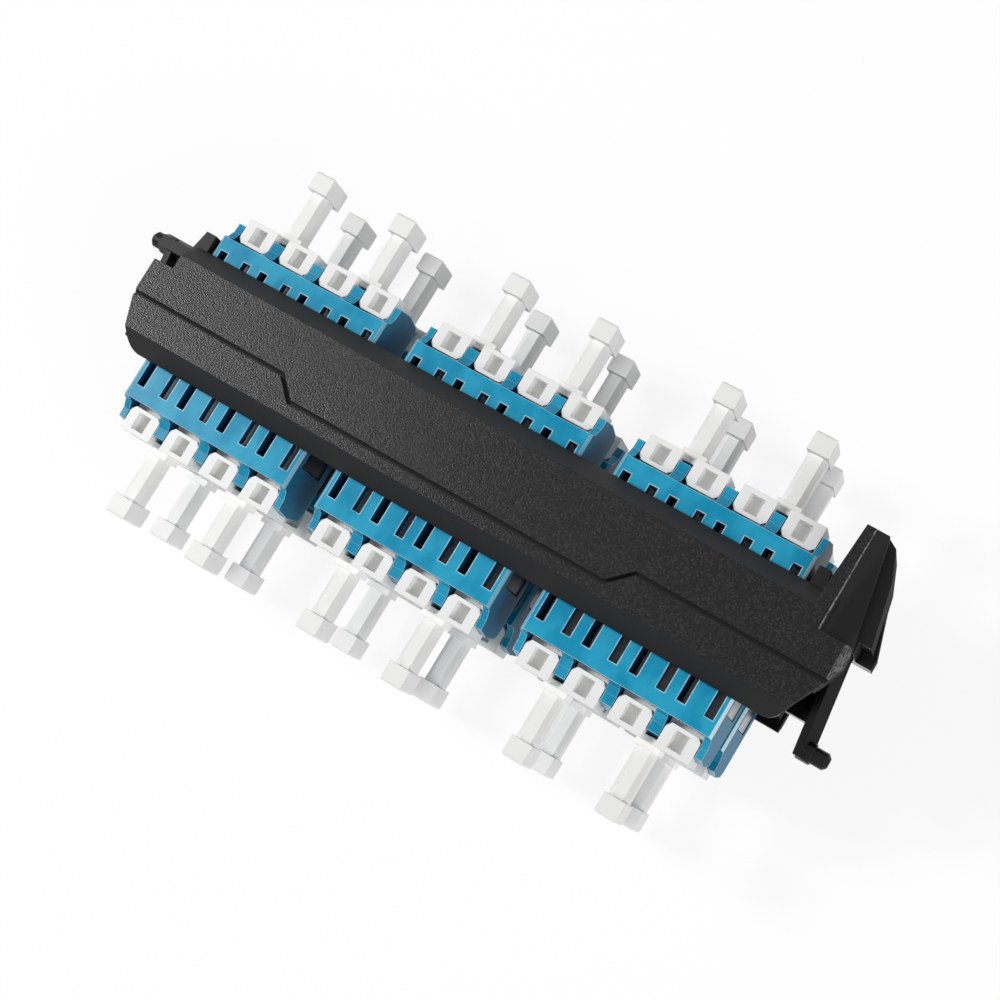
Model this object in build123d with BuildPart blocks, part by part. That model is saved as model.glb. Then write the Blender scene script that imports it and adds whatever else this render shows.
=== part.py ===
from build123d import *
import os

os.makedirs("parts", exist_ok=True)

# Fibre adapter panel: a black moulded frame holds two rows of three quad adapters,
# and a duplex dust cap closes every pair of ports on both sides.
# +X runs along the panel, +Y to the rear side, +Z up. The origin is on the resting
# plane, under the middle of the panel.

# Grid of ports, adapters and rows
port_pitch = 6.25
ports = 4
columns = 3
adapter_gap = 4.38
row_pitch = 13.5

# Adapter housing
side_wall = 0.9
adapter_height = 9.4
mouth_y = 11.7
tip_y = 14.7
tip_drop = 2.0
lip_y = 14.3
lip_rise = 0.6
lip_back = 0.7
fin_heel_y = 0.37
fin_heel_drop = 1.19
fin_toe_y = 1.36
fin_toe_drop = 1.94
edge_bevel = 0.35
web_thickness = 2.4
bore_drop = 5.4
latch_channel_top = 1.2
slot_width = 1.12
slot_outer_y = 9.88
slot_inner_y = 4.6

# Side recess and spring clip
recess_depth = 0.45
recess_half_length = 8.6
recess_top = 1.3
recess_bottom = 8.1
clip_clearance = 0.15
clip_thickness = 0.3
clip_window_inner_y = 1.3
clip_window_outer_y = 4.4
clip_window_height = 3.6
tongue_height = 2.8
tongue_reach = 0.5

# Sleeve holders and ceramic sleeves
holder_outer_r = 1.45
holder_half_length = 4.8
holder_fit = 0.04
hidden_sides = 8
sleeve_outer_r = 0.85
sleeve_wall = 0.22
sleeve_half_length = 3.4
sleeve_fit = 0.03
sleeve_gap = 0.25

# Duplex dust cap
plug_width = 4.46
plug_height = 4.4
plug_clearance = 0.12
plug_tip_y = 3.2
plug_pocket = 3.3
plug_pocket_depth = 5.0
cap_inner_y = 12.2
cap_outer_y = 15.5
cap_drop = 2.0
cap_clip = 0.5
pocket_width = 1.8
pocket_length = 2.2
pocket_depth = 1.7
pocket_back_wall = 0.6
bar_gap = 0.12
bar_drop = 3.4
root_width = 3.2
root_height = 3.6
root_length = 0.8
post_width = 2.6
post_height = 3.0
post_bevel = 0.6
grip_inner_y = 22.65
grip_outer_y = 25.15
grip_width = 2.85
grip_height = 5.3
grip_face_bevel = 0.2

# Panel frame
floor_thickness = 2.0
seat_gap = 0.1
window_gap = 0.1
panel_thickness = 2.0
roof_rise = 3.0
roof_eave = 0.4
roof_wall = 1.3
roof_front_y = -6.73
roof_front_top_y = -4.53
roof_rear_top_y = 6.5
roof_rear_y = 8.76
roof_end_bevel = 0.5
corner_round = 2.2
corner_taper = 2.6
corner_start_y = 0.4
notch_y = 4.55
groove_width = 0.55
groove_depth = 0.5
groove_rear_y = -0.22
groove_front_y = -2.76
groove_middle_x = 1.2
groove_inner_half = 22.25
groove_jog = 2.65
floor_front_y = -6.0
floor_rear_y = 8.0
floor_end_margin = 1.0
floor_bevel = 0.8
cheek_clearance = 0.645
cheek_thickness = 1.5
cheek_flare = 0.6
cheek_front_y = -4.5
cheek_rear_y = 11.1
cheek_flare_y = 8.2

# Ends of the roof, as distances beyond the cheeks' outer faces
roof_left_out = 2.8
notch_in = 0.4
roof_right_out = 6.6
roof_ridge_out = 5.6
roof_end_wall = 1.6
front_right_out = 2.5
neck_out = 5.7
neck_y = -0.4
shoulder_y = 1.9
shoulder_end_y = 3.4

# Latch arms, one at each end, turned half a turn from each other
arm_out = 5.2
arm_slope = 0.13
arm_centre_y = 0.4
arm_root_y = 5.4
arm_strip_y = -4.9
arm_strip_drop = 1.0
arm_end_y = -8.7
arm_top_drop = 4.5
arm_height = 3.4
arm_ridge = 0.9
arm_foot = 1.95
pin_r = 1.05
pin_y = -7.6
pin_tip_out = 9.6
pin_length = 3.6
pin_tip_bevel = 0.4
pin_boss_r = 1.3
pin_boss_sides = 12
pin_boss_length = 1.6
pin_stub_left = 1.6

# Horn and snap ramp on the right end, in the same way
horn_left_base_out = 0.6
horn_left_tip_out = 1.15
horn_right_tip_out = 3.9
horn_right_base_out = 6.35
horn_base_y = 4.4
horn_tip_y = 17.1
horn_thickness = 2.6
horn_rail_out = 2.35
horn_rail_width = 0.3
horn_rail_height = 0.25
horn_rail_end_y = 8.4
horn_fall_inner = 0.1
horn_fall_base = 0.8
horn_fall_tip = 0.25
ramp_top_drop = 2.6
ramp_height = 9.0
ramp_tip_out = 3.5
ramp_tip_y = 17.4
ramp_nose_out = 4.9
ramp_nose_y = 16.6
ramp_knee_out = 6.3
ramp_knee_y = 13.2
ramp_catch_out = 8.0
ramp_catch_y = 5.6
ramp_step_out = 6.5
catch_height = 2.6
catch_ledge = 1.0
catch_wedge_out = 6.5
catch_wedge_y = 12.0
catch_end_y = 4.2
catch_out = 8.5

# Sizes that follow from the ports and the stack
port_width = plug_width + 2 * plug_clearance
adapter_width = (ports - 1) * port_pitch + port_width + 2 * side_wall
side_x = adapter_width / 2
adapter_pitch = adapter_width + adapter_gap
column_xs = [(i - (columns - 1) / 2) * adapter_pitch for i in range(columns)]
port_xs = [(i - (ports - 1) / 2) * port_pitch for i in range(ports)]
pair_xs = [(i - (ports / 2 - 1) / 2) * 2 * port_pitch for i in range(ports // 2)]
twin_xs = [-port_pitch / 2, port_pitch / 2]
cheek_inner_x = column_xs[-1] + side_x + cheek_clearance
cheek_outer_x = cheek_inner_x + cheek_thickness
lower_top = floor_thickness + seat_gap + adapter_height
row_tops = [lower_top, lower_top + row_pitch]
row_names = ["lower", "upper"]
upper_top = row_tops[-1]
roof_top = upper_top + roof_rise
eave_z = upper_top + roof_eave

# Local heights below an adapter's top face
plug_top = -bore_drop + plug_height / 2
plug_bottom = -bore_drop - plug_height / 2
port_top = plug_top + plug_clearance
port_bottom = plug_bottom - plug_clearance
web_half = web_thickness / 2

# A plane that looks out of the rear ports: its normal is +Y and its local y is up
outward = Plane(origin=(0, 0, 0), x_dir=(-1, 0, 0), z_dir=(0, 1, 0))


def write(piece, name):
    """Label a finished piece and write it as one STEP file."""
    piece.label = name
    export_step(piece, f"parts/{name}.step")


# Adapter housing, modelled for its rear half and mirrored to the front
with BuildPart() as housing:
    with BuildSketch(Plane.YZ):
        with BuildLine():
            Polyline(
                (0, 0),
                (mouth_y, 0),
                (mouth_y + fin_heel_y, -fin_heel_drop),
                (mouth_y + fin_toe_y, -fin_toe_drop),
                (lip_y, -tip_drop),
                (tip_y, -bore_drop),
                (lip_y, -adapter_height + lip_rise),
                (lip_y - lip_back, -adapter_height),
                (0, -adapter_height),
                close=True,
            )
        make_face()
    extrude(amount=side_x, both=True)
    top_edges = housing.edges().filter_by(Axis.Y).group_by(Axis.Z)[-1]
    chamfer(top_edges, length=edge_bevel)

    # Port cavities, and the latch channel above each one
    with BuildSketch(outward.offset(web_half)):
        with Locations(*[(x, (port_top + port_bottom) / 2) for x in port_xs]):
            Rectangle(port_width, port_top - port_bottom)
    extrude(amount=tip_y, mode=Mode.SUBTRACT)
    with BuildSketch(outward.offset(slot_inner_y)):
        with Locations(*[(x, port_top) for x in port_xs]):
            Rectangle(port_width - 2 * slot_width, -latch_channel_top - port_top,
                      align=(Align.CENTER, Align.MIN))
    extrude(amount=tip_y, mode=Mode.SUBTRACT)

    # Open-topped mouths between the end fins
    with BuildSketch(outward.offset(mouth_y)):
        with Locations(*[(x, port_bottom) for x in port_xs]):
            Rectangle(port_width, -port_bottom, align=(Align.CENTER, Align.MIN))
    extrude(amount=tip_y, mode=Mode.SUBTRACT)

    # Two latch windows through the top face, along both walls of each port
    with BuildSketch(Plane.XY):
        slot_offset = (port_width - slot_width) / 2
        slot_xs = [x + side * slot_offset for x in port_xs for side in (-1, 1)]
        with Locations(*[(x, (slot_inner_y + slot_outer_y) / 2) for x in slot_xs]):
            Rectangle(slot_width, slot_outer_y - slot_inner_y)
    extrude(amount=port_top, mode=Mode.SUBTRACT)

    # Recesses in both sides for the spring clips
    for side in (-1, 1):
        with BuildSketch(Plane.YZ.offset(side * side_x)):
            with Locations((0, -(recess_top + recess_bottom) / 2)):
                Rectangle(2 * recess_half_length, recess_bottom - recess_top)
        extrude(amount=-side * recess_depth, mode=Mode.SUBTRACT)

    # Holes in the middle web for the sleeve holders
    with BuildSketch(outward):
        with Locations(*[(x, -bore_drop) for x in port_xs]):
            RegularPolygon(holder_outer_r + holder_fit, hidden_sides)
    extrude(amount=web_thickness, mode=Mode.SUBTRACT)
    mirror(about=Plane.XZ)

# Four sleeve holders: a tube through the web, with few faces as it is out of sight
with BuildPart() as holders:
    port_spots = [(x, -bore_drop) for x in port_xs]
    with BuildSketch(outward.offset(-holder_half_length)):
        with Locations(*port_spots):
            RegularPolygon(holder_outer_r, hidden_sides)
            RegularPolygon(sleeve_outer_r + sleeve_fit, hidden_sides, mode=Mode.SUBTRACT)
    extrude(amount=2 * holder_half_length)

# Four split ceramic sleeves
with BuildPart() as sleeves:
    with BuildSketch(outward.offset(-sleeve_half_length)):
        with Locations(*port_spots):
            RegularPolygon(sleeve_outer_r, hidden_sides)
            RegularPolygon(sleeve_outer_r - sleeve_wall, hidden_sides, mode=Mode.SUBTRACT)
        with Locations(*[(x, z + sleeve_outer_r) for x, z in port_spots]):
            Rectangle(sleeve_gap, 2 * sleeve_outer_r, mode=Mode.SUBTRACT)
    extrude(amount=2 * sleeve_half_length)

# A pair of spring clips, each a sheet with two windows and two sprung tongues
recess_x = side_x - recess_depth
clip_mid_z = -(recess_top + recess_bottom) / 2
clip_half_length = recess_half_length - clip_clearance
clip_height = recess_bottom - recess_top - 2 * clip_clearance
with BuildPart() as clips:
    with BuildSketch(Plane.YZ.offset(recess_x)):
        with Locations((0, clip_mid_z)):
            Rectangle(2 * clip_half_length, clip_height)
        window_mid_y = (clip_window_inner_y + clip_window_outer_y) / 2
        with Locations((window_mid_y, clip_mid_z), (-window_mid_y, clip_mid_z)):
            Rectangle(clip_window_outer_y - clip_window_inner_y, clip_window_height,
                      mode=Mode.SUBTRACT)
    extrude(amount=clip_thickness)
    with BuildSketch(Plane.XY.offset(clip_mid_z - tongue_height / 2)) as tongue:
        with BuildLine():
            free_x = side_x + tongue_reach
            Polyline(
                (recess_x, clip_window_outer_y),
                (free_x - clip_thickness, clip_window_inner_y),
                (free_x, clip_window_inner_y),
                (recess_x + clip_thickness, clip_window_outer_y),
                close=True,
            )
        make_face()
        mirror(about=Plane.XZ)
    extrude(amount=tongue_height)
    mirror(about=Plane.YZ)

# Duplex dust cap for the rear side
with BuildPart() as cap:
    with BuildSketch(outward.offset(plug_tip_y)):
        with Locations(*[(x, -bore_drop) for x in twin_xs]):
            Rectangle(plug_width, plug_height)
    extrude(amount=cap_outer_y - plug_tip_y)

    # Heads with clipped inner corners fill the open mouths
    with BuildSketch(Plane.XY.offset(plug_bottom)) as heads:
        with Locations(*[(x, (cap_inner_y + cap_outer_y) / 2) for x in twin_xs]):
            Rectangle(plug_width, cap_outer_y - cap_inner_y)
        chamfer(heads.vertices().group_by(Axis.Y)[0], length=cap_clip)
    extrude(amount=-cap_drop - plug_bottom)
    with BuildSketch(Plane.XY.offset(-cap_drop)):
        pocket_mid_y = cap_outer_y - pocket_back_wall - pocket_length / 2
        with Locations(*[(x, pocket_mid_y) for x in twin_xs]):
            Rectangle(pocket_width, pocket_length)
    extrude(amount=-pocket_depth, mode=Mode.SUBTRACT)

    # Bar across the two heads, just clear of the housing's fins
    with BuildSketch(outward.offset(tip_y + bar_gap)):
        with Locations((0, plug_bottom)):
            Rectangle(port_pitch + plug_width, -bar_drop - plug_bottom,
                      align=(Align.CENTER, Align.MIN))
    extrude(amount=cap_outer_y - tip_y - bar_gap)

    # Hollow plugs go over the sleeve holders
    with BuildSketch(outward.offset(plug_tip_y)):
        with Locations(*[(x, -bore_drop) for x in twin_xs]):
            Rectangle(plug_pocket, plug_pocket)
    extrude(amount=plug_pocket_depth, mode=Mode.SUBTRACT)

    # Pull handle: root block, bevelled post and grip
    with BuildSketch(outward.offset(cap_outer_y)):
        with Locations((0, -bore_drop)):
            Rectangle(root_width, root_height)
    extrude(amount=root_length)
    with BuildSketch(outward.offset(cap_outer_y)) as post:
        with Locations((0, -bore_drop)):
            Rectangle(post_width, post_height)
        chamfer(post.vertices(), length=post_bevel)
    extrude(amount=grip_outer_y - cap_outer_y)
    with BuildSketch(outward.offset(grip_inner_y)):
        with Locations((0, -bore_drop)):
            Rectangle(grip_width, grip_height)
    extrude(amount=grip_outer_y - grip_inner_y)
    chamfer(cap.faces().sort_by(Axis.Y)[-1].edges(), length=grip_face_bevel)

# Panel frame, one moulding
roof_left_x = -cheek_outer_x - roof_left_out
roof_right_x = cheek_outer_x + roof_right_out
notch_x = notch_in - cheek_outer_x
horn_right_base_x = cheek_outer_x + horn_right_base_out
horn_right_tip_x = cheek_outer_x + horn_right_tip_out
horn_rail_x = cheek_outer_x + horn_rail_out
with BuildPart() as frame:
    # Roof: a bevelled shell along the panel with a wall at its right end, cut to its plan
    with BuildSketch(Plane.YZ.offset(roof_left_x)):
        with BuildLine():
            Polyline(
                (roof_front_y, eave_z),
                (roof_front_top_y, roof_top),
                (roof_rear_top_y, roof_top),
                (roof_rear_y, eave_z),
                (roof_rear_y - roof_wall, eave_z),
                (roof_rear_top_y - roof_wall / 2, roof_top - roof_wall),
                (roof_front_top_y + roof_wall / 2, roof_top - roof_wall),
                (roof_front_y + roof_wall, eave_z),
                close=True,
            )
        make_face()
    extrude(amount=roof_right_x - roof_left_x)
    with BuildSketch(Plane.YZ.offset(roof_right_x - roof_end_wall)):
        with BuildLine():
            Polyline(
                (roof_front_y, eave_z),
                (roof_front_top_y, roof_top),
                (roof_rear_top_y, roof_top),
                (roof_rear_y, eave_z),
                close=True,
            )
        make_face()
    extrude(amount=roof_end_wall)
    with BuildSketch(Plane.XY.offset(eave_z)) as plan:
        with BuildLine():
            Polyline(
                (roof_left_x, notch_y),
                (roof_left_x, corner_start_y),
                (roof_left_x + corner_taper, roof_front_y),
                (cheek_outer_x + front_right_out, roof_front_y),
                (cheek_outer_x + neck_out, neck_y),
                (roof_right_x, shoulder_y),
                (roof_right_x, shoulder_end_y),
                (horn_right_base_x, horn_base_y),
                (horn_rail_x, roof_rear_y),
                (notch_x, roof_rear_y),
                (notch_x, notch_y),
                close=True,
            )
        make_face()
        front_corners = plan.vertices().group_by(Axis.Y)[0]
        fillet(front_corners, radius=corner_round)
    extrude(amount=roof_rise, mode=Mode.INTERSECT)
    end_edges = frame.faces().sort_by(Axis.Z)[-1].edges()
    chamfer(end_edges.sort_by(Axis.X)[0], length=roof_end_bevel)

    # Broad bevel down the roof's right end, as far as the horn
    with BuildSketch(Plane.XZ.offset(-horn_base_y)):
        with BuildLine():
            ridge_x = cheek_outer_x + roof_ridge_out
            Polyline(
                (ridge_x, roof_top),
                (ridge_x + roof_rise, roof_top),
                (ridge_x + roof_rise, roof_top - roof_rise),
                close=True,
            )
        make_face()
    extrude(amount=horn_base_y - roof_front_y, mode=Mode.SUBTRACT)

    # Groove with a forward jog along the roof's middle stretch
    with BuildSketch(Plane.XY.offset(roof_top)):
        jog_inner = (groove_middle_x - groove_inner_half, groove_middle_x + groove_inner_half)
        with BuildLine():
            Polyline(
                (roof_left_x, groove_rear_y),
                (jog_inner[0] - groove_jog, groove_rear_y),
                (jog_inner[0], groove_front_y),
                (jog_inner[1], groove_front_y),
                (jog_inner[1] + groove_jog, groove_rear_y),
                (roof_right_x, groove_rear_y),
            )
        trace(line_width=groove_width)
    extrude(amount=-groove_depth, mode=Mode.SUBTRACT)

    # Wall across the panel with a window for each adapter
    with BuildSketch(outward.offset(-panel_thickness / 2)):
        Rectangle(2 * cheek_inner_x, roof_top - roof_wall / 2, align=(Align.CENTER, Align.MIN))
        with Locations(*[(-x, top - adapter_height / 2) for x in column_xs for top in row_tops]):
            Rectangle(adapter_width + 2 * window_gap, adapter_height + 2 * window_gap,
                      mode=Mode.SUBTRACT)
    extrude(amount=panel_thickness)

    # Floor under the lower row
    with BuildSketch(Plane.YZ.offset(-cheek_outer_x - floor_end_margin)):
        with BuildLine():
            Polyline(
                (floor_front_y, floor_thickness),
                (floor_front_y, floor_bevel),
                (floor_front_y + floor_bevel, 0),
                (floor_rear_y - floor_bevel, 0),
                (floor_rear_y, floor_bevel),
                (floor_rear_y, floor_thickness),
                close=True,
            )
        make_face()
    extrude(amount=2 * (cheek_outer_x + floor_end_margin))

    # Cheeks at both ends, flared where they meet the roof
    with BuildSketch(Plane.XY):
        with BuildLine():
            Polyline(
                (cheek_inner_x, cheek_front_y),
                (cheek_inner_x, cheek_rear_y),
                (cheek_outer_x, cheek_rear_y),
                (cheek_outer_x + cheek_flare, cheek_flare_y),
                (cheek_outer_x + cheek_flare, cheek_front_y),
                close=True,
            )
        make_face()
        mirror(about=Plane.YZ)
    extrude(amount=upper_top)
    with BuildSketch(Plane.XY.offset(upper_top)):
        with Locations((cheek_inner_x + cheek_thickness / 2, 0),
                       (-cheek_inner_x - cheek_thickness / 2, 0)):
            Rectangle(cheek_thickness, -2 * cheek_front_y)
    extrude(amount=roof_rise - roof_wall / 2)

    # Latch arms with their pins, the right one modelled and turned for the left
    arm_bottom_z = upper_top - arm_top_drop - arm_height
    arm_x = cheek_outer_x + arm_out
    arm_root_x = arm_x - arm_slope * (arm_root_y - arm_strip_y)
    for turn, stub in ((0, 0), (180, pin_stub_left)):
        spot = Plane(origin=(0, arm_centre_y, 0)).rotated((0, 0, turn))
        corner = spot.from_local_coords((arm_root_x, arm_root_y, arm_bottom_z))
        with BuildSketch(Plane(origin=corner, x_dir=spot.x_dir, z_dir=-spot.y_dir)):
            with BuildLine():
                Polyline(
                    (0, 0),
                    (arm_foot, 0),
                    (arm_ridge, arm_height),
                    (0, arm_height),
                    close=True,
                )
            make_face()
        along_arm = spot.x_dir * arm_slope - spot.y_dir
        extrude(amount=(arm_root_y - arm_end_y) * along_arm.length, dir=along_arm)
        with BuildSketch(spot.offset(arm_bottom_z)):
            with BuildLine():
                Polyline(
                    (cheek_outer_x, arm_root_y),
                    (arm_root_x + arm_ridge, arm_root_y),
                    (arm_x + arm_ridge, arm_strip_y),
                    (cheek_outer_x, arm_strip_y),
                    close=True,
                )
            make_face()
        extrude(amount=arm_height - arm_strip_drop)
        pin_root_x = cheek_outer_x + pin_tip_out - pin_length
        pin_root = spot.from_local_coords((pin_root_x, pin_y, arm_bottom_z + arm_height / 2))
        pin_plane = Plane(origin=pin_root, x_dir=spot.y_dir, z_dir=spot.x_dir)
        with BuildSketch(pin_plane):
            RegularPolygon(pin_boss_r, pin_boss_sides)
        extrude(amount=pin_boss_length)
        with BuildSketch(pin_plane.offset(-stub)):
            Circle(pin_r)
        extrude(amount=stub + pin_length - pin_tip_bevel)
        with BuildSketch(pin_plane.offset(pin_length - pin_tip_bevel)):
            Circle(pin_r)
        extrude(amount=pin_tip_bevel, taper=45)

    # Horn that carries on from the roof's right end
    with BuildSketch(Plane.XY.offset(roof_top - horn_thickness)):
        with BuildLine():
            Polyline(
                (cheek_outer_x + horn_left_base_out, horn_base_y),
                (cheek_outer_x + horn_left_base_out, roof_rear_y),
                (cheek_outer_x + horn_left_tip_out, horn_tip_y),
                (horn_right_tip_x, horn_tip_y),
                (horn_right_base_x, horn_base_y),
                close=True,
            )
        make_face()
    extrude(amount=horn_thickness)

    # Its right part falls away from a short raised rail
    for y, fall in ((horn_base_y, horn_fall_base), (horn_tip_y, horn_fall_tip)):
        with BuildSketch(Plane.XZ.offset(-y)):
            with BuildLine():
                Polyline(
                    (horn_rail_x, roof_top + roof_eave),
                    (horn_rail_x, roof_top - horn_fall_inner),
                    (horn_right_base_x, roof_top - fall),
                    (horn_right_base_x, roof_top + roof_eave),
                    close=True,
                )
            make_face()
    loft(mode=Mode.SUBTRACT)
    with BuildSketch(Plane.XY.offset(roof_top - horn_thickness / 2)):
        with Locations((horn_rail_x, horn_base_y)):
            Rectangle(horn_rail_width, horn_rail_end_y - horn_base_y,
                      align=(Align.CENTER, Align.MIN))
    extrude(amount=horn_thickness / 2 + horn_rail_height)

    # Snap ramp below the horn, with its catch shoulder
    ramp_bottom_z = roof_top - ramp_top_drop - ramp_height
    ramp_tip_x = cheek_outer_x + ramp_tip_out
    ramp_step_x = cheek_outer_x + ramp_step_out
    with BuildSketch(Plane.XY.offset(ramp_bottom_z)):
        with BuildLine():
            Polyline(
                (cheek_outer_x, catch_end_y),
                (cheek_outer_x, ramp_catch_y),
                (ramp_tip_x - panel_thickness / 2, ramp_tip_y),
                (ramp_tip_x, ramp_tip_y),
                (cheek_outer_x + ramp_nose_out, ramp_nose_y),
                (cheek_outer_x + ramp_knee_out, ramp_knee_y),
                (cheek_outer_x + ramp_catch_out, ramp_catch_y),
                (ramp_step_x, ramp_catch_y),
                (ramp_step_x, catch_end_y),
                close=True,
            )
        make_face()
    extrude(amount=ramp_height)
    with BuildSketch(Plane.XY.offset(ramp_bottom_z)):
        with BuildLine():
            Polyline(
                (ramp_step_x - catch_ledge, catch_end_y),
                (ramp_step_x - catch_ledge, ramp_catch_y),
                (cheek_outer_x + catch_wedge_out, catch_wedge_y),
                (cheek_outer_x + catch_out, ramp_catch_y),
                (cheek_outer_x + catch_out, catch_end_y),
                close=True,
            )
        make_face()
    extrude(amount=catch_height)

write(frame.part, "frame")

# Place the adapters, with what each one holds
for row, top in zip(row_names, row_tops):
    for column, x in enumerate(column_xs, start=1):
        seat = Location((x, 0, top))
        write(housing.part.moved(seat), f"adapter_{row}_{column}")
        write(holders.part.moved(seat), f"sleeve_holders_{row}_{column}")
        write(sleeves.part.moved(seat), f"ceramic_sleeves_{row}_{column}")
        write(clips.part.moved(seat), f"spring_clips_{row}_{column}")

# Place two dust caps on each side of every adapter
for side, turn in (("rear", 0), ("front", 180)):
    for row, top in zip(row_names, row_tops):
        cap_xs = [x + pair for x in column_xs for pair in pair_xs]
        for number, x in enumerate(cap_xs, start=1):
            seat = Location((x, 0, top), (0, 0, turn))
            write(cap.part.moved(seat), f"cap_{side}_{row}_{number}")
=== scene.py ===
"""Looks of the fibre adapter panel: its finishes with rounded edges, camera, lights and stage.

Lengths are in metres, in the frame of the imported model: +X runs along the panel, +Y to the
rear side and +Z up. Every finish is procedural and is laid in each piece's own coordinates,
so that it stays in place when a dust cap is pulled.
"""

import logging
import math
from dataclasses import dataclass
from enum import Enum
from typing import Union

import bpy
from mathutils import Matrix, Vector


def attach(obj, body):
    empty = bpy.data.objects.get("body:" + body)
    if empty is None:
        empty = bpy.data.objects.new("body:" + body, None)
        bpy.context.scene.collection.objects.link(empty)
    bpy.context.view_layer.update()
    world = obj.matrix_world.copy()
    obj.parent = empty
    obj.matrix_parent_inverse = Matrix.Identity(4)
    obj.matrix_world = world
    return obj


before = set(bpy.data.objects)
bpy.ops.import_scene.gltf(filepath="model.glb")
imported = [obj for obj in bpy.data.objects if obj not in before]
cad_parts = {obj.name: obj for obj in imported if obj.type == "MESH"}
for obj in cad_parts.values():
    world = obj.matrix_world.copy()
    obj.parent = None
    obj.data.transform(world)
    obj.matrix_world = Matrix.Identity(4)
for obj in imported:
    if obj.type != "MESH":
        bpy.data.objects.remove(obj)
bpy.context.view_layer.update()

log = logging.getLogger("fibre_adapter_panel")

MILLIMETRE = 0.001

# How many rays find a rounded edge, and how many find how open the air is
EDGE_SAMPLES = 8
OPENNESS_SAMPLES = 6

Colour = tuple[float, float, float]
# The middle of a mask's rise, and half the width of that rise
Fade = tuple[float, float]
Value = Union["Socket", float, int, tuple]


class Slot(Enum):
    """Material slots of the record, by the piece that wears them."""

    BLACK = "black_plastic"
    BLUE = "blue_plastic"
    WHITE = "white_plastic"
    STEEL = "spring_steel"
    CERAMIC = "ceramic"


class Row(Enum):
    """The two rows of adapters."""

    LOWER = "lower"
    UPPER = "upper"


class Side(Enum):
    """The two sides of the panel that take dust caps."""

    REAR = "rear"
    FRONT = "front"


class Socket:
    """An output of a shader node, on which arithmetic adds Math nodes."""

    def __init__(self, graph: "Graph", output: bpy.types.NodeSocket) -> None:
        """Wraps one output of a node in a graph."""
        self.graph = graph
        self.output = output

    def sibling(self, name: str) -> "Socket":
        """Another output of the same node."""
        return Socket(self.graph, self.output.node.outputs[name])

    def _math(self, operation: str, *values: Value) -> "Socket":
        """Adds one Math node for an operation on values."""
        return self.graph.add("ShaderNodeMath", {"operation": operation}, dict(enumerate(values)))

    def __add__(self, other: Value) -> "Socket":
        """This value plus another."""
        return self._math("ADD", self, other)

    def __radd__(self, other: Value) -> "Socket":
        """Another value plus this one."""
        return self._math("ADD", other, self)

    def __sub__(self, other: Value) -> "Socket":
        """This value less another."""
        return self._math("SUBTRACT", self, other)

    def __rsub__(self, other: Value) -> "Socket":
        """Another value less this one."""
        return self._math("SUBTRACT", other, self)

    def __mul__(self, other: Value) -> "Socket":
        """This value times another."""
        return self._math("MULTIPLY", self, other)

    def __rmul__(self, other: Value) -> "Socket":
        """Another value times this one."""
        return self._math("MULTIPLY", other, self)

    def __abs__(self) -> "Socket":
        """This value without its sign."""
        return self._math("ABSOLUTE", self)

    def repeated(self, pitch: float) -> "Socket":
        """This value counted from the nearest multiple of a pitch."""
        return self._math("WRAP", self, pitch / 2, -pitch / 2)

    def rise(self, start: float, end: float) -> "Socket":
        """A straight rise from 0 at one value to 1 at another."""
        inputs = {"Value": self, "From Min": start, "From Max": end}
        return self.graph.add("ShaderNodeMapRange", {"clamp": True}, inputs)

    def or_more(self, other: Value) -> "Socket":
        """The larger of this value and another."""
        return self._math("MAXIMUM", self, other)

    def above(self, edge: float, softness: float) -> "Socket":
        """A mask that rises smoothly from 0 to 1 across an edge.

        Args:
            edge: The value at the middle of the rise.
            softness: Half the width of the rise.

        Returns:
            The mask.
        """
        settings = {"interpolation_type": "SMOOTHSTEP", "clamp": True}
        inputs = {"Value": self, "From Min": edge - softness, "From Max": edge + softness}
        return self.graph.add("ShaderNodeMapRange", settings, inputs)


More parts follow.
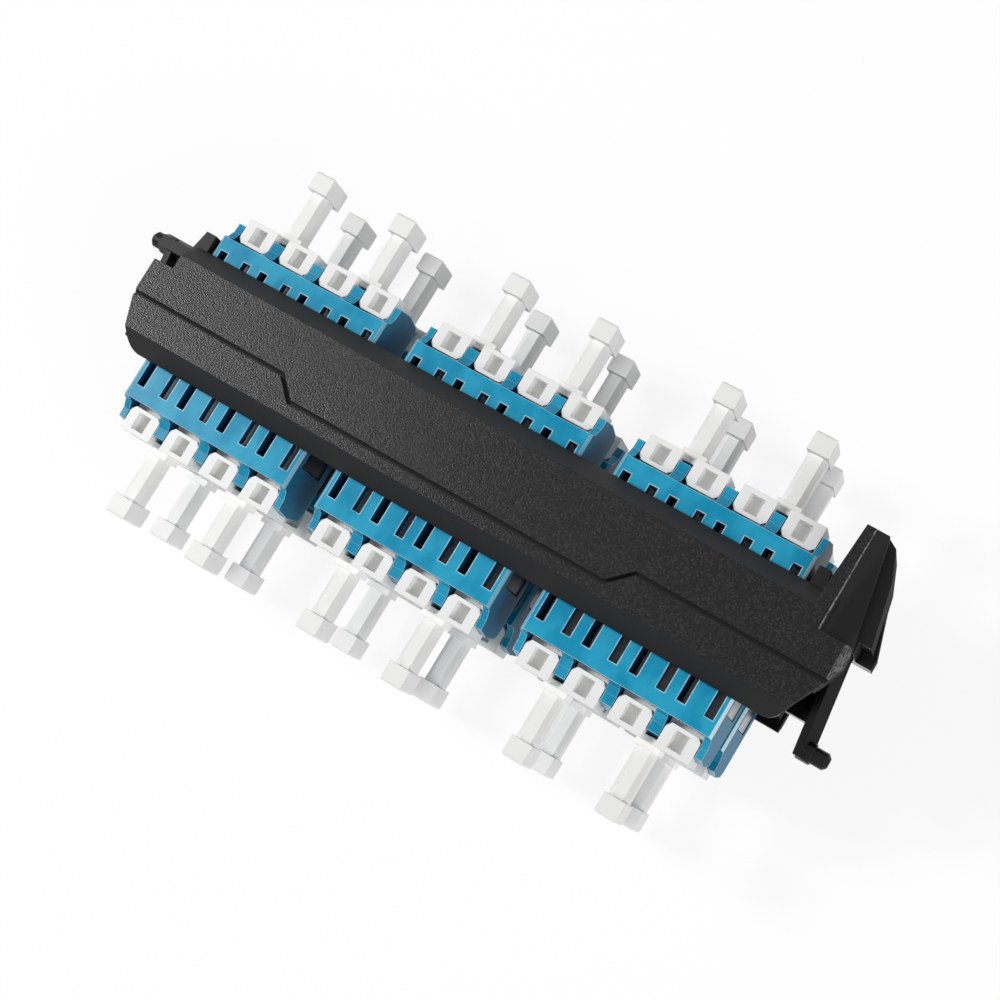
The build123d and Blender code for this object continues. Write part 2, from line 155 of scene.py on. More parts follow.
class Graph:
    """The node tree of a material or of the world, filled from nothing."""

    def __init__(self, tree: bpy.types.NodeTree) -> None:
        """Empties a node tree and takes it over."""
        self.tree = tree
        tree.nodes.clear()

    def add(self, kind: str, settings: dict | None = None, inputs: dict | None = None,
            output: str | int = 0) -> Socket | None:
        """Adds a node of any type.

        Args:
            kind: The node's type, such as ShaderNodeTexNoise.
            settings: Properties that are set before the inputs, such as an operation.
            inputs: Values or links of its sockets, by name or number.
            output: The output that is wanted, by name or number.

        Returns:
            That output, or nothing from a node that has none.
        """
        node = self.tree.nodes.new(kind)
        for name, value in (settings or {}).items():
            setattr(node, name, value)
        for key, value in (inputs or {}).items():
            if isinstance(value, Socket):
                self.tree.links.new(value.output, node.inputs[key])
            else:
                node.inputs[key].default_value = value
        return Socket(self, node.outputs[output]) if node.outputs else None

    def place(self) -> Socket:
        """The shaded point in the piece's own coordinates, in metres."""
        return self.add("ShaderNodeTexCoord", output="Object")

    def facing(self, axis: str) -> Socket:
        """How far the piece's own surface faces along an axis.

        Args:
            axis: The axis, X, Y or Z.

        Returns:
            The normal's share along it, from -1 to 1.
        """
        normal = self.add("ShaderNodeTexCoord", output="Normal")
        return self.add("ShaderNodeSeparateXYZ", inputs={"Vector": normal}, output=axis)

    def noise(self, grain: float, detail: float = 2.0, stretch: tuple = (1.0, 1.0, 1.0)) -> Socket:
        """Smooth noise with grains of a real size.

        Args:
            grain: The size of one grain, in metres.
            detail: How many finer layers are laid over it.
            stretch: How much the pattern is drawn out along each axis.

        Returns:
            The noise, around 0.5.
        """
        scale = tuple(1.0 / (grain * share) for share in stretch)
        spot = self.add("ShaderNodeVectorMath", {"operation": "MULTIPLY"},
                        {0: self.place(), 1: scale})
        return self.add("ShaderNodeTexNoise", inputs={"Vector": spot, "Scale": 1.0, "Detail": detail})

    def cells(self, size: float) -> Socket:
        """Uneven cells side by side, as the pits of an eroded mould leave them.

        Args:
            size: The size of one cell, in metres.

        Returns:
            How far the point lies from its cell's middle; a sibling holds the cell's own colour.
        """
        spot = self.add("ShaderNodeVectorMath", {"operation": "SCALE"},
                        {0: self.place(), "Scale": 1.0 / size})
        return self.add("ShaderNodeTexVoronoi", inputs={"Vector": spot, "Scale": 1.0})

    def along(self, axis: str) -> Socket:
        """The shaded point's own coordinate along an axis, in metres."""
        return self.add("ShaderNodeSeparateXYZ", inputs={"Vector": self.place()}, output=axis)

    def edges(self, radius: float) -> Socket:
        """A normal that rounds every sharp edge over a real radius."""
        return self.add("ShaderNodeBevel", {"samples": EDGE_SAMPLES}, {"Radius": radius})

    def bend(self, rounded: Socket) -> Socket:
        """How far a rounded normal leans off the flat face, from 0 on the face itself."""
        flat = self.add("ShaderNodeNewGeometry", output="True Normal")
        return 1.0 - self.add("ShaderNodeVectorMath", {"operation": "DOT_PRODUCT"},
                              {0: rounded, 1: flat}, output="Value")

    def openness(self, reach: float) -> Socket:
        """How open the air over the surface is, from 0 in a deep slot to 1 on a free face."""
        return self.add("ShaderNodeAmbientOcclusion", {"samples": OPENNESS_SAMPLES},
                        {"Distance": reach}, output="AO")

    def blend(self, factor: Value, first: Value, second: Value) -> Socket:
        """Mixes two colours.

        Args:
            factor: 0 for the first colour, 1 for the second.
            first: The first colour.
            second: The second colour.

        Returns:
            The mixed colour.
        """
        colours = [c if isinstance(c, Socket) else (*c, 1.0) for c in (first, second)]
        return self.add("ShaderNodeMix", {"data_type": "RGBA"},
                        {0: factor, 6: colours[0], 7: colours[1]}, output=2)

    def relief(self, height: Socket, depth: float, strength: float,
               under: Socket | None = None) -> Socket:
        """A bumped normal.

        Args:
            height: The relief, 0 to 1.
            depth: The real height of 1, in metres.
            strength: How much of the relief is used.
            under: A normal that this relief lies on.

        Returns:
            The normal.
        """
        inputs = {"Height": height, "Distance": depth, "Strength": strength}
        if under:
            inputs["Normal"] = under
        return self.add("ShaderNodeBump", inputs=inputs)


def shade(colour: Colour, share: float) -> Colour:
    """A colour made lighter or darker by one factor."""
    return tuple(min(1.0, channel * share) for channel in colour)


def srgb(red: int, green: int, blue: int) -> Colour:
    """A colour as a screen shows it, as linear light."""
    parts = [channel / 255 for channel in (red, green, blue)]
    return tuple(p / 12.92 if p <= 0.04045 else ((p + 0.055) / 1.055) ** 2.4 for p in parts)


@dataclass(frozen=True)
class Finish:
    """What every finish shares: a name, a colour and how its gloss is set."""

    name: str
    colour: Colour
    roughness: float = 0.4
    specular: float = 0.5
    metallic: float = 0.0
    edge_radius: float = 0.1 * MILLIMETRE

    def surface(self, graph: Graph) -> dict[str, Value]:
        """The inputs of the shader that this finish varies over the surface."""
        return {"Base Color": (*self.colour, 1.0), "Roughness": self.roughness}

    def material(self) -> bpy.types.Material:
        """Builds the material.

        Returns:
            A material with a Principled shader fed by this finish.
        """
        made = bpy.data.materials.new(self.name)
        made.use_nodes = True
        graph = Graph(made.node_tree)
        inputs = {"Metallic": self.metallic, "Specular IOR Level": self.specular}
        shader = graph.add("ShaderNodeBsdfPrincipled", inputs=inputs | self.surface(graph))
        graph.add("ShaderNodeOutputMaterial", inputs={"Surface": shader})
        return made


@dataclass(frozen=True)
class GrainedPlastic(Finish):
    """Black moulding: eroded grain on top, satin slopes, gloss with painted shade under the roof's
    right half.
    """

    satin_colour: Colour = srgb(24, 24, 25)
    # Darker colour below the roof on the right half only: painted shade over the gloss
    shaded_gloss_colour: Colour = srgb(13, 13, 13)
    # Pale colour for streaks on the roof's right bevel, a painted highlight on the horn's rail and
    # painted fill light in the left notch
    pale_streak_and_light_colour: Colour = srgb(128, 128, 126)
    grain: float = 0.18 * MILLIMETRE
    grain_depth: float = 0.027 * MILLIMETRE
    salt_fade: Fade = (0.78, 0.05)
    salt_shade: float = 2.4
    pepper_fade: Fade = (0.25, 0.05)
    pepper_share: float = 0.7
    pepper_shade: float = 0.35
    satin_grain: float = 0.12 * MILLIMETRE
    satin_depth: float = 0.006 * MILLIMETRE
    satin_strength: float = 0.6
    satin_roughness: float = 0.4
    gloss_roughness: float = 0.16
    flank_roughness: float = 0.85
    mottle: float = 6.0 * MILLIMETRE
    mottle_share: float = 0.3
    mottle_shade: float = 0.6
    mottle_roughness: float = 0.05
    level_fade: Fade = (0.93, 0.03)
    flank_fade: Fade = (0.88, 0.05)
    bevel_fade: Fade = (0.4, 0.1)
    bevel_scratch_fade: Fade = (0.48, 0.2)
    bevel_share: float = 0.8
    rail_scratch_fade: Fade = (0.46, 0.12)
    notch_fill_light_share: float = 0.3
    blur: float = 0.1 * MILLIMETRE
    wide_blur: float = 0.2 * MILLIMETRE
    top_z: float = 28.0 * MILLIMETRE
    top_margin: float = 0.2 * MILLIMETRE
    eave_z: float = 24.4 * MILLIMETRE
    end_x: float = 49.8 * MILLIMETRE
    notch_x: float = 46.5 * MILLIMETRE
    horn_x: float = 46.7 * MILLIMETRE
    horn_y: float = 4.4 * MILLIMETRE
    rail_half_width: float = 0.08 * MILLIMETRE
    rail_blur: float = 0.03 * MILLIMETRE
    groove_depth: float = 0.7 * MILLIMETRE
    groove_shadow_y: float = -0.06 * MILLIMETRE
    groove_blur: float = 0.04 * MILLIMETRE
    # Share of the painted groove shade on the floor's front half
    groove_floor_shade_share: float = 0.25
    groove_dull: float = 0.7
    groove_rear_y: float = -0.22 * MILLIMETRE
    groove_front_y: float = -2.76 * MILLIMETRE
    groove_middle_x: float = 1.2 * MILLIMETRE
    groove_inner_half: float = 22.25 * MILLIMETRE
    groove_jog: float = 2.65 * MILLIMETRE

    def level(self, graph: Graph) -> Socket:
        """Where the surface faces straight up."""
        return graph.facing("Z").above(*self.level_fade)

    def high(self, graph: Graph) -> Socket:
        """Where the surface lies in the roof's top plane, and not in its groove."""
        return graph.along("Z").above(self.top_z - self.top_margin, self.blur)

    def grained(self, graph: Graph) -> Socket:
        """Where the grain lies: on the top plane, but not on the horn's smooth half.

        Args:
            graph: The material's graph.

        Returns:
            The mask.
        """
        horn = (graph.along("X").above(self.horn_x, self.blur)
                * graph.along("Y").above(self.horn_y, self.blur))
        return self.level(graph) * self.high(graph) * (1.0 - horn)

    def groove(self, graph: Graph) -> Socket:
        """Painted shade in the groove: full on the rear half of its floor under its rear wall, a
        smaller share on the front half.

        Args:
            graph: The material's graph.

        Returns:
            The mask.
        """
        below = 1.0 - self.high(graph)
        sunk = below * graph.along("Z").above(self.top_z - self.groove_depth, self.blur)
        out = abs(graph.along("X") - self.groove_middle_x)
        jog = out.rise(self.groove_inner_half, self.groove_inner_half + self.groove_jog)
        middle = self.groove_front_y + (self.groove_rear_y - self.groove_front_y) * jog
        rear = (graph.along("Y") - middle).above(self.groove_shadow_y, self.groove_blur)
        dark = self.groove_floor_shade_share + (1.0 - self.groove_floor_shade_share) * rear
        return self.level(graph) * sunk * dark

    def pale_streaks_and_rail_highlight(self, graph: Graph) -> Socket:
        """Where the colour is laid pale: streaks on the roof's right bevel, and a painted highlight
        along the horn's rail.

        Args:
            graph: The material's graph.

        Returns:
            The mask.
        """
        across = graph.along("X")
        at_end = across.above(self.end_x, self.blur) * graph.along("Z").above(self.eave_z, self.blur)
        slanting = (graph.facing("X").above(*self.bevel_fade)
                    * graph.facing("Z").above(*self.bevel_fade))
        # A painted highlight along the horn's rail, broken by the scratch noise
        off_rail = abs(across - self.horn_x).above(self.rail_half_width, self.rail_blur)
        rail = (1.0 - off_rail) * graph.along("Y").above(self.horn_y, self.blur) * self.high(graph)
        scratch = graph.noise(self.grain, detail=2.0, stretch=(1.0, 2.5, 1.0))
        bevel = at_end * slanting * scratch.above(*self.bevel_scratch_fade) * self.bevel_share
        return bevel + rail * scratch.above(*self.rail_scratch_fade)

    def surface(self, graph: Graph) -> dict[str, Value]:
        """Grain, satin and gloss, a faint mottle, and painted shade, highlight and fill light in a
        few places.

        Args:
            graph: The material's graph.

        Returns:
            Colour, roughness and normal.
        """
        top = self.grained(graph)
        under = 1.0 - graph.along("Z").above(self.eave_z, self.wide_blur)
        low = under * graph.along("X").above(0.0, self.wide_blur)
        inward = graph.facing("X").above(*self.flank_fade) * under
        notch_fill_light = inward * (1.0 - graph.along("X").above(-self.notch_x, self.wide_blur))
        flank = abs(graph.facing("X")).above(*self.flank_fade)
        groove = self.groove(graph)
        pit = graph.cells(self.grain)
        chance = graph.add("ShaderNodeSeparateColor", inputs={"Color": pit.sibling("Color")})
        salt = chance.above(*self.salt_fade) * top
        pepper = (1.0 - chance.above(*self.pepper_fade)) * top
        mottle = graph.noise(self.mottle, detail=3.0)
        # Below the roof on the right half the colour turns darker than the satin: painted shade
        satin_or_shaded_gloss = graph.blend(low, self.satin_colour, self.shaded_gloss_colour)
        base = graph.blend(top, satin_or_shaded_gloss, self.colour)
        light = graph.blend(salt, base, shade(self.colour, self.salt_shade))
        # The groove's painted shade is laid with the pepper's dark colour
        grainy = graph.blend(pepper * self.pepper_share + groove, light,
                             shade(self.colour, self.pepper_shade))
        flowing = graph.blend(mottle * self.mottle_share, grainy,
                              shade(self.colour, self.mottle_shade))
        # Painted fill light on the +X faces in the left notch, with the pale bevel streaks and the
        # painted rail highlight
        pale = self.pale_streaks_and_rail_highlight(graph).or_more(notch_fill_light * self.notch_fill_light_share)
        colour = graph.blend(pale, flowing, self.pale_streak_and_light_colour)
        rounded = graph.edges(self.edge_radius)
        satin = graph.relief(graph.noise(self.satin_grain), self.satin_depth,
                             self.satin_strength, rounded)
        smooth = (self.satin_roughness + (self.roughness - self.satin_roughness) * top
                  + (self.gloss_roughness - self.satin_roughness) * low)
        dull = groove * self.groove_dull + flank * (1.0 - groove)
        rough = (smooth * (1.0 - dull) + self.flank_roughness * dull
                 + mottle * self.mottle_roughness)
        dome = (1.0 - pit) * top
        normal = graph.relief(dome, self.grain_depth, 1.0, satin)
        return {"Base Color": colour, "Roughness": rough, "Normal": normal}


@dataclass(frozen=True)
class GlossPlastic(Finish):
    """Smooth moulding: a flow of colour, painted edge highlights and a painted recess colour in place
    of light and shade.
    """

    dark_share: float = 0.96
    pale_colour: Colour = srgb(255, 255, 255)
    # Painted highlight colour on edges, and how much of it is laid
    edge_highlight_colour: Colour = srgb(255, 255, 255)
    edge_highlight_share: float = 0.5
    # Colour painted into recesses, and on the blue's X-facing sides: painted shade on the blue,
    # painted fill light on the white
    painted_recess_colour: Colour = srgb(120, 120, 120)
    painted_recess_share: float = 0.5
    side_fade: Fade = (0.9, 0.05)
    painted_side_shade_share: float = 0.0
    side_roughness: float = 0.0
    reach: float = 3.0 * MILLIMETRE
    open_fade: Fade = (0.5, 0.15)
    bend_fade: Fade = (0.035, 0.03)
    flow: float = 3.0 * MILLIMETRE
    flow_fade: Fade = (0.5, 0.14)
    flow_share: float = 0.5
    flow_roughness: float = 0.08
    orange_peel: float = 0.9 * MILLIMETRE
    peel_depth: float = 0.006 * MILLIMETRE
    peel_strength: float = 0.7
    scuff: float = 0.16 * MILLIMETRE
    scuff_fade: Fade = (0.74, 0.05)
    scuff_share: float = 0.25
    scuff_shade: float = 1.7
    scuff_roughness: float = 0.15

    def glints(self, graph: Graph) -> Socket | float:
        """Where chosen moulded edges get a painted highlight, beyond the one that every edge gets."""
        return 0.0

    def surface(self, graph: Graph) -> dict[str, Value]:
        """Flow marks, a painted recess colour, painted edge highlights, a soft ripple and sparse
        scuffs.

        Args:
            graph: The material's graph.

        Returns:
            Colour, roughness and normal.
        """
        flow = graph.noise(self.flow, detail=5.0, stretch=(1.0, 1.6, 1.0))
        scratches = graph.noise(self.scuff, detail=3.0, stretch=(1.0, 3.0, 1.0))
        scuffs = scratches.above(*self.scuff_fade)
        streaks = flow.above(*self.flow_fade) * self.flow_share
        tint = graph.blend(streaks, shade(self.colour, self.dark_share), self.pale_colour)
        scuffed = graph.blend(scuffs * self.scuff_share, tint,
                              shade(self.colour, self.scuff_shade))
        # Painted recess colour: shade in recesses and on X-facing sides of the blue, fill light in
        # the white's recesses
        free = graph.openness(self.reach)
        side = abs(graph.facing("X")).above(*self.side_fade)
        recess_paint = (1.0 - free) * self.painted_recess_share
        recess_and_side_paint = recess_paint + side * self.painted_side_shade_share * (1.0 - recess_paint)
        deep = graph.blend(recess_and_side_paint, scuffed, self.painted_recess_colour)
        # Painted highlight: a pale colour along rounded edges in the open air, and on the edges from
        # glints
        rounded = graph.edges(self.edge_radius)
        bent = graph.bend(rounded).above(*self.bend_fade)
        edge = bent * free.above(*self.open_fade) * self.edge_highlight_share
        colour = graph.blend(edge.or_more(self.glints(graph)), deep, self.edge_highlight_colour)
        peel = graph.noise(self.orange_peel, detail=1.0)
        normal = graph.relief(peel, self.peel_depth, self.peel_strength, rounded)
        rough = (self.roughness + flow * self.flow_roughness + scuffs * self.scuff_roughness
                 + side * self.side_roughness)
        return {"Base Color": colour, "Roughness": rough, "Normal": normal}


@dataclass(frozen=True)
class HousingPlastic(GlossPlastic):
    """The housings' plastic, with a painted highlight along their long bevels and round their top
    slots.
    """

    pitch: float = 29.63 * MILLIMETRE
    port_pitch: float = 6.25 * MILLIMETRE
    slot_offset: float = 1.79 * MILLIMETRE
    slot_half_width: float = 0.56 * MILLIMETRE
    slot_inner_y: float = 4.6 * MILLIMETRE
    slot_outer_y: float = 9.88 * MILLIMETRE
    line_width: float = 0.12 * MILLIMETRE
    line_blur: float = 0.036 * MILLIMETRE
    end_x: float = 41.6 * MILLIMETRE
    slope_fade: Fade = (0.55, 0.08)
    upward_fade: Fade = (0.5, 0.1)
    level_fade: Fade = (0.9, 0.05)
    broken_fade: Fade = (0.42, 0.2)
    broken_share: float = 0.4
    bevel_share: float = 0.3
    left_share: float = 0.8
    slot_line_highlight_share: float = 0.45

    def glints(self, graph: Graph) -> Socket:
        """Painted highlights on the upper bevels along the sides, and a thin painted highlight line
        round each slot.

        Args:
            graph: The material's graph.

        Returns:
            The mask.
        """
        up = graph.facing("Z")
        right = graph.facing("X")
        end = graph.along("X").above(self.end_x, self.line_width)
        to_right = right.above(*self.slope_fade)
        to_left = (-1.0 * right).above(*self.slope_fade)
        bevel = (to_right + to_left * self.left_share) * up.above(*self.upward_fade)
        port = abs((graph.along("X").repeated(self.pitch) - self.port_pitch / 2)
                   .repeated(self.port_pitch))
        beside = abs(port - self.slot_offset) - self.slot_half_width
        middle = (self.slot_inner_y + self.slot_outer_y) / 2
        beyond = abs(abs(graph.along("Y")) - middle) - (self.slot_outer_y - middle)
        off_line = beside.or_more(beyond).above(self.line_width, self.line_blur)
        broken = graph.noise(self.flow * self.broken_share, detail=2.0).above(*self.broken_fade)
        line = (1.0 - off_line) * up.above(*self.level_fade) * broken
        # Painted highlights: the bevels, stronger at the right end, and the lines round the slots
        share = self.bevel_share + (1.0 - self.bevel_share) * end
        return (bevel * share).or_more(line * self.slot_line_highlight_share)


@dataclass(frozen=True)
class StampedSteel(Finish):
    """Spring steel with rolling lines along the sheet, and a painted dark blue shade where it is shut
    in.
    """

    line: float = 0.05 * MILLIMETRE
    line_depth: float = 0.003 * MILLIMETRE
    line_strength: float = 0.5
    line_roughness: float = 0.12
    draw: float = 40.0
    tint: float = 1.5 * MILLIMETRE
    tint_share: float = 0.5
    tint_shade: float = 0.7
    reach: float = 10.0 * MILLIMETRE
    open_fade: Fade = (0.55, 0.15)
    painted_recess_colour: Colour = srgb(6, 34, 62)

    def surface(self, graph: Graph) -> dict[str, Value]:
        """Rolling lines, a mottled oxide tint and a painted shade where the clip is shut in.

        Args:
            graph: The material's graph.

        Returns:
            Colour, roughness and normal.
        """
        lines = graph.noise(self.line, detail=2.0, stretch=(1.0, self.draw, 1.0))
        tint = graph.noise(self.tint, detail=3.0) * self.tint_share
        sheet = graph.blend(tint, self.colour, shade(self.colour, self.tint_shade))
        # Painted shade: where the clip is shut in, its colour goes to a dark blue
        shut_in_shade = 1.0 - graph.openness(self.reach).above(*self.open_fade)
        colour = graph.blend(shut_in_shade, sheet, self.painted_recess_colour)
        rough = self.roughness + lines * self.line_roughness
        rounded = graph.edges(self.edge_radius)
        normal = graph.relief(lines, self.line_depth, self.line_strength, rounded)
        return {"Base Color": colour, "Roughness": rough, "Normal": normal}


@dataclass(frozen=True)
class SinteredCeramic(Finish):
    """Ground zirconia: near white, polished, with faint lapping lines."""

    lap: float = 0.03 * MILLIMETRE
    lap_roughness: float = 0.08
    cloud: float = 0.6 * MILLIMETRE
    cloud_share: float = 0.3
    cloud_shade: float = 0.85

    def surface(self, graph: Graph) -> dict[str, Value]:
        """Lapping lines and a slight warm cloud.

        Args:
            graph: The material's graph.

        Returns:
            Colour, roughness and normal.
        """
        cloud = graph.noise(self.cloud, detail=2.0) * self.cloud_share
        laps = graph.noise(self.lap, detail=1.0, stretch=(4.0, 1.0, 4.0))
        colour = graph.blend(cloud, self.colour, shade(self.colour, self.cloud_shade))
        rough = self.roughness + laps * self.lap_roughness
        rounded = graph.edges(self.edge_radius)
        return {"Base Color": colour, "Roughness": rough, "Normal": rounded}


BLACK_PLASTIC = GrainedPlastic("black_moulding", srgb(27, 27, 27), roughness=0.24,
                               specular=0.18, edge_radius=0.08 * MILLIMETRE)
BLUE_PLASTIC = HousingPlastic("blue_moulding", srgb(4, 149, 190), roughness=0.22, specular=0.2,
                              edge_radius=0.14 * MILLIMETRE, pale_colour=srgb(50, 172, 206),
                              edge_highlight_colour=srgb(212, 238, 247), edge_highlight_share=0.6,
                              painted_recess_colour=srgb(0, 46, 86), painted_recess_share=0.95, painted_side_shade_share=0.6,
                              side_roughness=0.22, reach=5.0 * MILLIMETRE, dark_share=0.82)
# The white's recess colour is lighter than its base: painted fill light
WHITE_PLASTIC = GlossPlastic("white_moulding", srgb(232, 232, 230), roughness=0.45,
                             pale_colour=srgb(229, 229, 227), edge_highlight_colour=srgb(244, 244, 242),
                             painted_recess_colour=srgb(250, 250, 248), painted_recess_share=0.9)
SPRING_STEEL = StampedSteel("stamped_steel", srgb(168, 170, 172), roughness=0.3, metallic=1.0,
                            edge_radius=0.04 * MILLIMETRE)
CERAMIC = SinteredCeramic("ground_ceramic", srgb(240, 238, 232), roughness=0.15,
                          edge_radius=0.2 * MILLIMETRE)


@dataclass
class SubAssembly:
    """Carried-over pieces of one kind, with the finish they get."""

    finish: Finish
    slot: Slot

    def names(self) -> list[str]:
        """The names of the nodes that belong to this sub-assembly."""
        raise NotImplementedError

    def build(self) -> list[bpy.types.Object]:
        """The nodes as they were carried over, with their own meshes."""
        return [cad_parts[name] for name in self.names()]

    def dress(self, nodes: list[bpy.types.Object]) -> None:
        """Gives every node its finish.

        Args:
            nodes: The nodes to dress.
        """
        material = self.finish.material()
        for node in nodes:
            node.data.materials.clear()
            node.data.materials.append(material)
            log.info("%s wears %s", node.name, material.name)


@dataclass
class PanelFrame(SubAssembly):
    """The black moulding that holds everything."""

    finish: Finish = BLACK_PLASTIC
    slot: Slot = Slot.BLACK

    def names(self) -> list[str]:
        """The one moulding."""
        return ["frame"]


@dataclass
class PinSaddle(SubAssembly):
    """The back over the left latch arm's end, which carries the pin's line across the arm."""

    finish: Finish = BLACK_PLASTIC
    slot: Slot = Slot.BLACK
    body: str = "panel"
    outer_x: float = -52.1 * MILLIMETRE
    inner_x: float = -47.5 * MILLIMETRE
    pin_y: float = 8.0 * MILLIMETRE
    foot_z: float = 17.9 * MILLIMETRE
    shoulder_z: float = 19.3 * MILLIMETRE
    top_z: float = 20.7 * MILLIMETRE
    half_width: float = 1.32 * MILLIMETRE
    top_half_width: float = 0.75 * MILLIMETRE

    def names(self) -> list[str]:
        """The one saddle."""
        return ["pin_saddle_left"]

    def section(self) -> list[tuple[float, float]]:
        """The section, counterclockwise as Y and Z.

        Returns:
            The corners, from the rear foot over the ridge to the front foot.
        """
        half = [(self.half_width, self.foot_z), (self.half_width, self.shoulder_z),
                (self.top_half_width, self.top_z)]
        rear = [(self.pin_y + width, z) for width, z in half]
        front = [(self.pin_y - width, z) for width, z in reversed(half)]
        return rear + front

    def build(self) -> list[bpy.types.Object]:
        """Draws the section at both ends and skins it.

        Returns:
            The saddle, riding with the panel.
        """
        section = self.section()
        points = [(x, y, z) for x in (self.outer_x, self.inner_x) for y, z in section]
        count = len(section)
        sides = [(i, (i + 1) % count, count + (i + 1) % count, count + i) for i in range(count)]
        ends = [tuple(reversed(range(count))), tuple(range(count, 2 * count))]
        mesh = bpy.data.meshes.new("pin_saddle")
        mesh.from_pydata(points, [], sides + ends)
        saddle = bpy.data.objects.new(self.names()[0], mesh)
        bpy.context.scene.collection.objects.link(saddle)
        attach(saddle, self.body)
        return [saddle]


@dataclass
class InRows(SubAssembly):
    """Pieces that stand in both rows, one to an adapter."""

    columns: int = 3
    stem: str = ""

    def names(self) -> list[str]:
        """A name for each column of each row."""
        return [f"{self.stem}_{row.value}_{column}"
                for row in Row for column in range(1, self.columns + 1)]


@dataclass
class AdapterHousings(InRows):
    """The blue quad housings."""

    finish: Finish = BLUE_PLASTIC
    slot: Slot = Slot.BLUE
    stem: str = "adapter"


@dataclass
class SleeveHolders(InRows):
    """The tubes in the housings' webs."""

    finish: Finish = BLUE_PLASTIC
    slot: Slot = Slot.BLUE
    stem: str = "sleeve_holders"


@dataclass
class CeramicSleeves(InRows):
    """The split alignment sleeves."""

    finish: Finish = CERAMIC
    slot: Slot = Slot.CERAMIC
    stem: str = "ceramic_sleeves"


@dataclass
class SpringClips(InRows):
    """The stamped clips in the housings' sides."""

    finish: Finish = SPRING_STEEL
    slot: Slot = Slot.STEEL
    stem: str = "spring_clips"


@dataclass
class DustCaps(SubAssembly):
    """The white duplex caps on both sides."""

    finish: Finish = WHITE_PLASTIC
    slot: Slot = Slot.WHITE
    per_row: int = 6

    def names(self) -> list[str]:
        """A name for each cap of each row on each side."""
        return [f"cap_{side.value}_{row.value}_{number}"
                for side in Side for row in Row for number in range(1, self.per_row + 1)]


@dataclass(frozen=True)
class PhotoCamera:
    """The camera, at the photograph's viewing angle."""

    place: tuple[float, float, float] = (0.071036, -0.019528, 0.223930)
    azimuth: float = math.radians(73.2015)
    elevation: float = math.radians(71.4290)
    roll: float = math.radians(42.8133)
    sensor: float = 36.0
    lens: float = 64.85
    nearest: float = MILLIMETRE
    farthest: float = 20.0

    def build(self) -> None:
        """Makes the camera and gives it to the scene."""
        data = bpy.data.cameras.new("photo_camera")
        data.sensor_width = self.sensor
        data.lens = self.lens
        data.clip_start = self.nearest
        data.clip_end = self.farthest
        camera = bpy.data.objects.new("photo_camera", data)
        turn = (Matrix.Rotation(self.azimuth, 4, "Z")
                @ Matrix.Rotation(math.pi / 2 - self.elevation, 4, "X")
                @ Matrix.Rotation(-self.roll, 4, "Z"))
        camera.matrix_world = Matrix.Translation(self.place) @ turn
        bpy.context.scene.collection.objects.link(camera)
        bpy.context.scene.camera = camera
        log.info("camera at %s", self.place)


@dataclass(frozen=True)
class Softbox:
    """A large square lamp that looks at the object."""

    name: str
    place: tuple[float, float, float]
    width: float
    power: float
    aim: tuple[float, float, float] = (0.0, 0.0, 0.015)

    def build(self) -> None:
        """Makes the lamp and points it at its aim."""
        data = bpy.data.lights.new(self.name, "AREA")
        data.size = self.width
        data.energy = self.power
        lamp = bpy.data.objects.new(self.name, data)
        lamp.location = self.place
        lamp.rotation_mode = "QUATERNION"
        sight = Vector(self.aim) - Vector(self.place)
        lamp.rotation_quaternion = sight.to_track_quat("-Z", "Y")
        bpy.context.scene.collection.objects.link(lamp)
        log.info("lamp %s at %s", self.name, self.place)


def seen_share(graph: Graph) -> Socket:
    """1 where a ray comes straight from the camera, off gloss or through glass, and 0 elsewhere."""
    camera = graph.add("ShaderNodeLightPath", output="Is Camera Ray")
    return camera + camera.sibling("Is Glossy Ray") + camera.sibling("Is Transmission Ray")


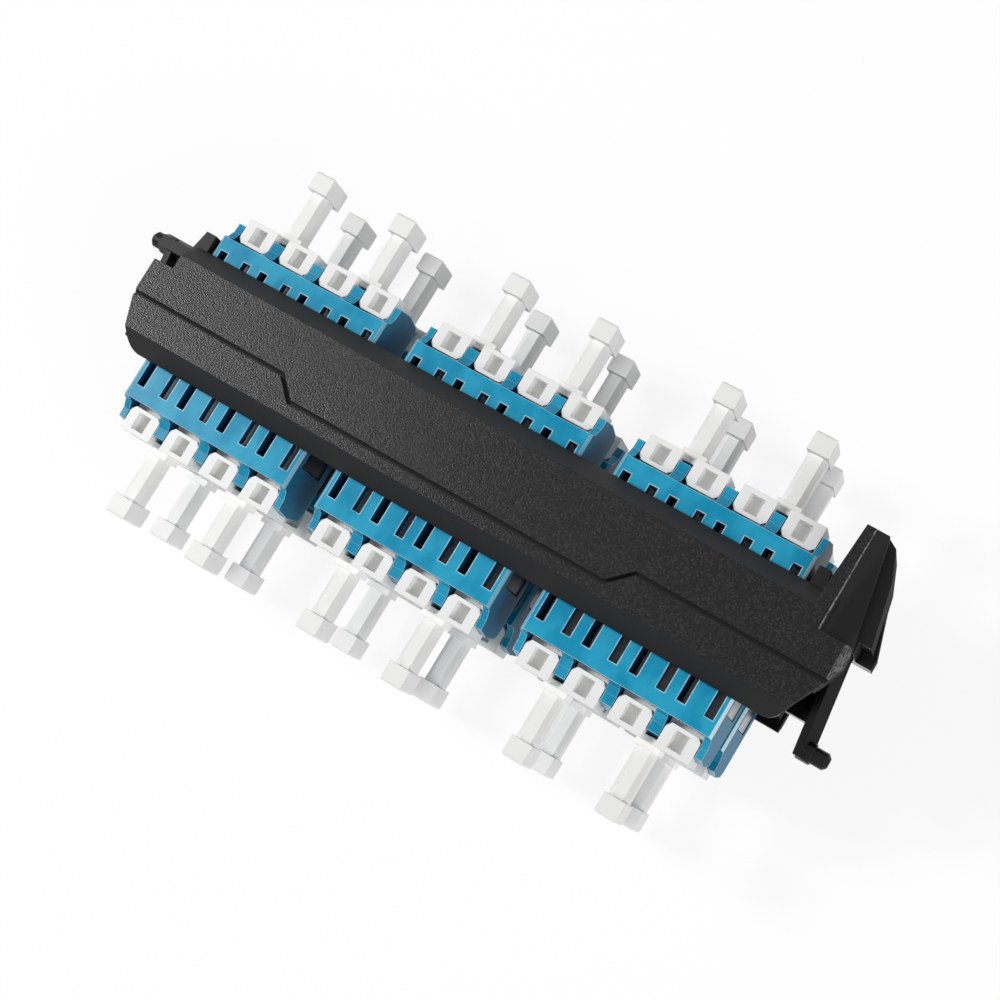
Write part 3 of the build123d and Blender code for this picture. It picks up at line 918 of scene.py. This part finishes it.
@dataclass(frozen=True)
class Studio:
    """Pale floor, white surround and soft lamps."""

    floor_radius: float = 3.0
    floor_sides: int = 64
    floor_white: Colour = (0.95, 0.95, 0.95)
    shadow_share: float = 0.12
    surround: Colour = (1.0, 1.0, 1.0)
    surround_strength: float = 0.22
    lamps: tuple[Softbox, ...] = (
        Softbox("key_softbox", (-0.66, -0.04, 0.76), 0.22, 7.2),
        Softbox("fill_softbox", (0.85, -0.3, 0.6), 0.7, 5.8),
    )

    def build(self) -> None:
        """Makes the floor, the surround and the lamps."""
        self.make_floor()
        self.make_surround()
        for lamp in self.lamps:
            lamp.build()

    def make_floor(self) -> None:
        """Lays a round floor on the resting plane, under the object."""
        mesh = bpy.data.meshes.new("floor")
        turns = [2 * math.pi * side / self.floor_sides for side in range(self.floor_sides)]
        ring = [(self.floor_radius * math.cos(turn), self.floor_radius * math.sin(turn), 0.0)
                for turn in turns]
        mesh.from_pydata(ring, [], [tuple(range(self.floor_sides))])
        floor = bpy.data.objects.new("floor", mesh)
        bpy.context.scene.collection.objects.link(floor)
        made = bpy.data.materials.new("pale_floor")
        made.use_nodes = True
        graph = Graph(made.node_tree)
        matt = graph.add("ShaderNodeBsdfDiffuse", inputs={"Color": (*self.floor_white, 1.0)})
        white = graph.add("ShaderNodeEmission", inputs={"Color": (1.0, 1.0, 1.0, 1.0)})
        factor = seen_share(graph) * (1.0 - self.shadow_share)
        both = graph.add("ShaderNodeMixShader", inputs={0: factor, 1: matt, 2: white})
        graph.add("ShaderNodeOutputMaterial", inputs={"Surface": both})
        mesh.materials.append(made)

    def make_surround(self) -> None:
        """Sets a white surround that lights the object at a plain level."""
        world = bpy.data.worlds.new("surround")
        bpy.context.scene.world = world
        world.use_nodes = True
        graph = Graph(world.node_tree)
        seen = seen_share(graph)
        strength = self.surround_strength + seen * (1.0 - self.surround_strength)
        light = graph.add("ShaderNodeBackground",
                          inputs={"Color": (*self.surround, 1.0), "Strength": strength})
        graph.add("ShaderNodeOutputWorld", inputs={"Surface": light})


def main() -> None:
    """Builds the camera, the studio and every sub-assembly, in order."""
    logging.basicConfig(level=logging.INFO, format="%(name)s: %(message)s")
    bpy.context.scene.view_settings.view_transform = "Standard"
    PhotoCamera().build()
    Studio().build()
    parts = [PanelFrame(), PinSaddle(), AdapterHousings(), SleeveHolders(), CeramicSleeves(),
             SpringClips(), DustCaps()]
    for part in parts:
        part.dress(part.build())


if __name__ == "__main__":
    main()
